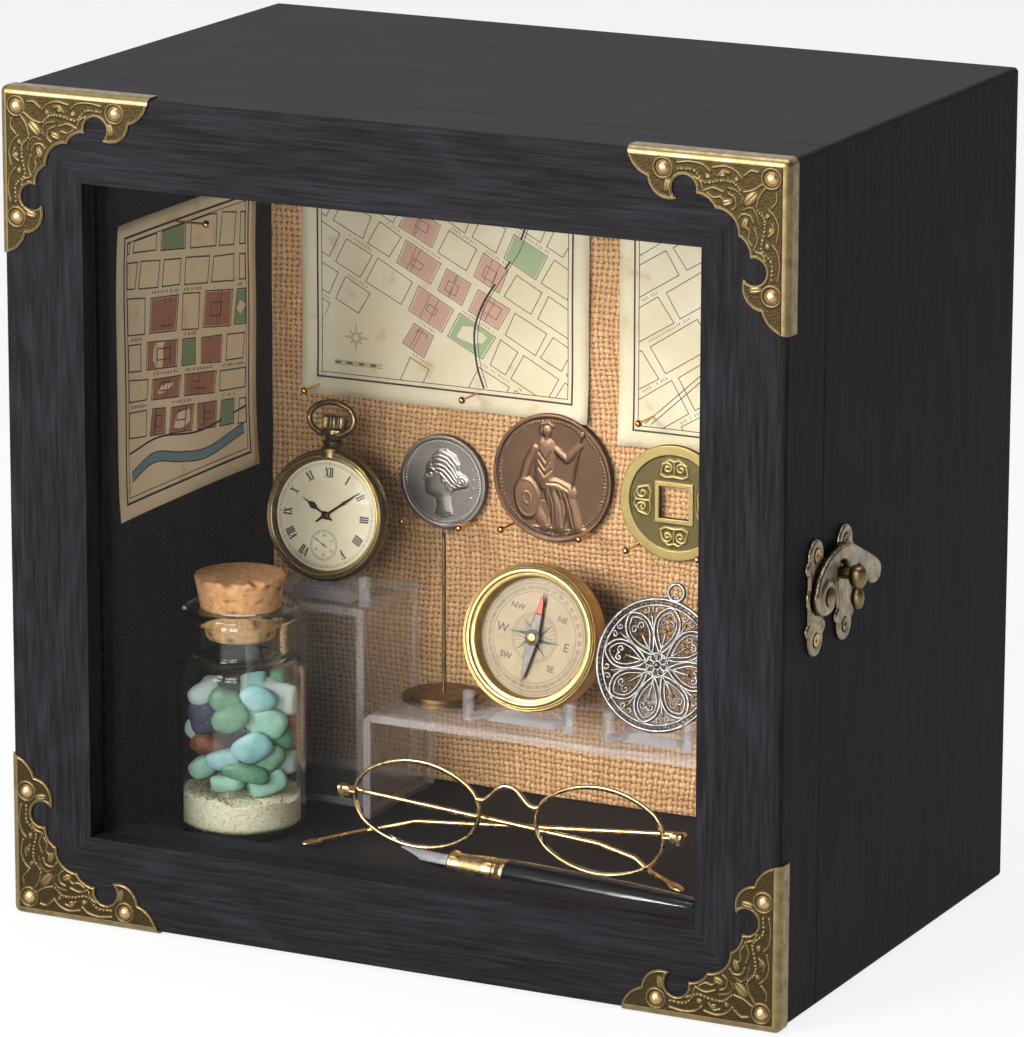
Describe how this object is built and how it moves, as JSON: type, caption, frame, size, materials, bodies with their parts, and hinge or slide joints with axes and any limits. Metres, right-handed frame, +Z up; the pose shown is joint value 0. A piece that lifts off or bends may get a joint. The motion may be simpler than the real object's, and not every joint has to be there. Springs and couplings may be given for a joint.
{
  "type": "shadow box frame",
  "caption": "Deep black wooden display case with a hinged glass door, brass corners and a hook latch, holding a small collection against burlap.",
  "frame": {"origin": "middle of the case's footprint, on the plane that the felt under it stands on", "axes": "+X to the right seen from the door, +Y from the door to the back, +Z up"},
  "size_m": [0.3222, 0.2051, 0.307],
  "materials": {
    "stained_wood": "satin, black-stained, grain showing",
    "plywood": "bare plywood",
    "pin_board_fibre": "soft fibre board",
    "burlap": "coarse open weave",
    "felt": "pressed felt",
    "antique_brass": "antiqued, dark in the hollows",
    "clear_glass": "clear, polished",
    "clear_acrylic": "clear, polished edges",
    "cork": "natural cork",
    "sand": "dry sand",
    "sea_glass": "frosted",
    "watch_metal": "dark bronze, worn",
    "compass_brass": "worn brass",
    "dial_enamel": "aged enamel",
    "blued_steel": "blued",
    "silver": "oxidised silver",
    "bronze": "dark patina",
    "coin_brass": "worn",
    "gold_wire": "polished",
    "pen_lacquer": "black lacquer with a brass section",
    "paper": "printed paper"
  },
  "bodies": {
    "case": {"case_top": "stained_wood", "case_bottom": "stained_wood", "case_left": "stained_wood", "case_right": "stained_wood", "back_panel": "plywood", "pin_board_battens": "plywood", "pin_board": "pin_board_fibre", "burlap_lining": "burlap", "felt_base": "felt", "case_hinge_leaves": "antique_brass", "hinge_pins": "antique_brass", "case_screws": "antique_brass", "catch_plate": "antique_brass", "catch_post": "antique_brass", "glass_jar": "clear_glass", "jar_sand": "sand", "sea_glass": "sea_glass", "tall_riser": "clear_acrylic", "long_riser": "clear_acrylic", "display_easels": "clear_acrylic", "watch_case": "watch_metal", "watch_dial": "dial_enamel", "watch_crystal": "clear_glass", "watch_seconds_hand": "blued_steel", "compass_case": "compass_brass", "compass_dial": "dial_enamel", "compass_crystal": "clear_glass", "filigree_pendant": "silver", "silver_coin": "silver", "bronze_coin": "bronze", "square_hole_coin": "coin_brass", "coin_stand": "gold_wire", "spectacle_frame": "gold_wire", "spectacle_lenses": "clear_glass", "fountain_pen": "pen_lacquer", "pen_nib": "gold_wire", "left_map": "paper", "centre_map": "paper", "right_map": "paper", "brass_pins": "antique_brass"},
    "door": {"door_top_rail": "stained_wood", "door_bottom_rail": "stained_wood", "door_left_stile": "stained_wood", "door_right_stile": "stained_wood", "door_glass": "clear_glass", "glazing_beads": "stained_wood", "door_hinge_leaves": "antique_brass", "upper_left_corner": "antique_brass", "upper_right_corner": "antique_brass", "lower_left_corner": "antique_brass", "lower_right_corner": "antique_brass", "door_screws_and_nails": "antique_brass", "latch_plate": "antique_brass", "latch_rivet": "antique_brass"},
    "latch_hook": {"latch_hook": "antique_brass"},
    "jar_cork": {"jar_cork": "cork"},
    "watch_bow": {"watch_bow": "watch_metal"},
    "watch_hour_hand": {"watch_hour_hand": "blued_steel"},
    "watch_minute_hand": {"watch_minute_hand": "blued_steel"},
    "compass_needle": {"compass_needle": "blued_steel"}
  },
  "joints": [
    {"name": "door_hinge", "type": "hinge", "parent": "case", "child": "door", "pos_m": [-0.1557, -0.0697, 0.1537], "axis": [0, 0, -1], "range_deg": [0, 180]},
    {"name": "latch_swing", "type": "hinge", "parent": "door", "child": "latch_hook", "pos_m": [0.1545, -0.0735, 0.1504], "axis": [1, 0, 0], "range_deg": [0, 120]},
    {"name": "cork_lift", "type": "slide", "parent": "case", "child": "jar_cork", "axis": [0, 0, 1], "range_m": [0, 0.03]},
    {"name": "bow_swing", "type": "hinge", "parent": "case", "child": "watch_bow", "pos_m": [-0.094, 0.03468, 0.15752], "axis": [1, 0, 0], "range_deg": [-60, 60]},
    {"name": "minute_turn", "type": "hinge", "parent": "case", "child": "watch_minute_hand", "pos_m": [-0.094, 0.02955, 0.12718], "axis": [0, 0.986, -0.1668], "continuous": true},
    {"name": "hour_turn", "type": "hinge", "parent": "case", "child": "watch_hour_hand", "pos_m": [-0.094, 0.02955, 0.12718], "axis": [0, 0.986, -0.1668], "continuous": true},
    {"name": "needle_turn", "type": "hinge", "parent": "case", "child": "compass_needle", "pos_m": [-0.0065, 0.0265, 0.09138], "axis": [0, -0.9781, 0.2079], "continuous": true}
  ],
  "couplings": [
    {"joint": "hour_turn", "follows": "minute_turn", "ratio": 0.083333}
  ]
}
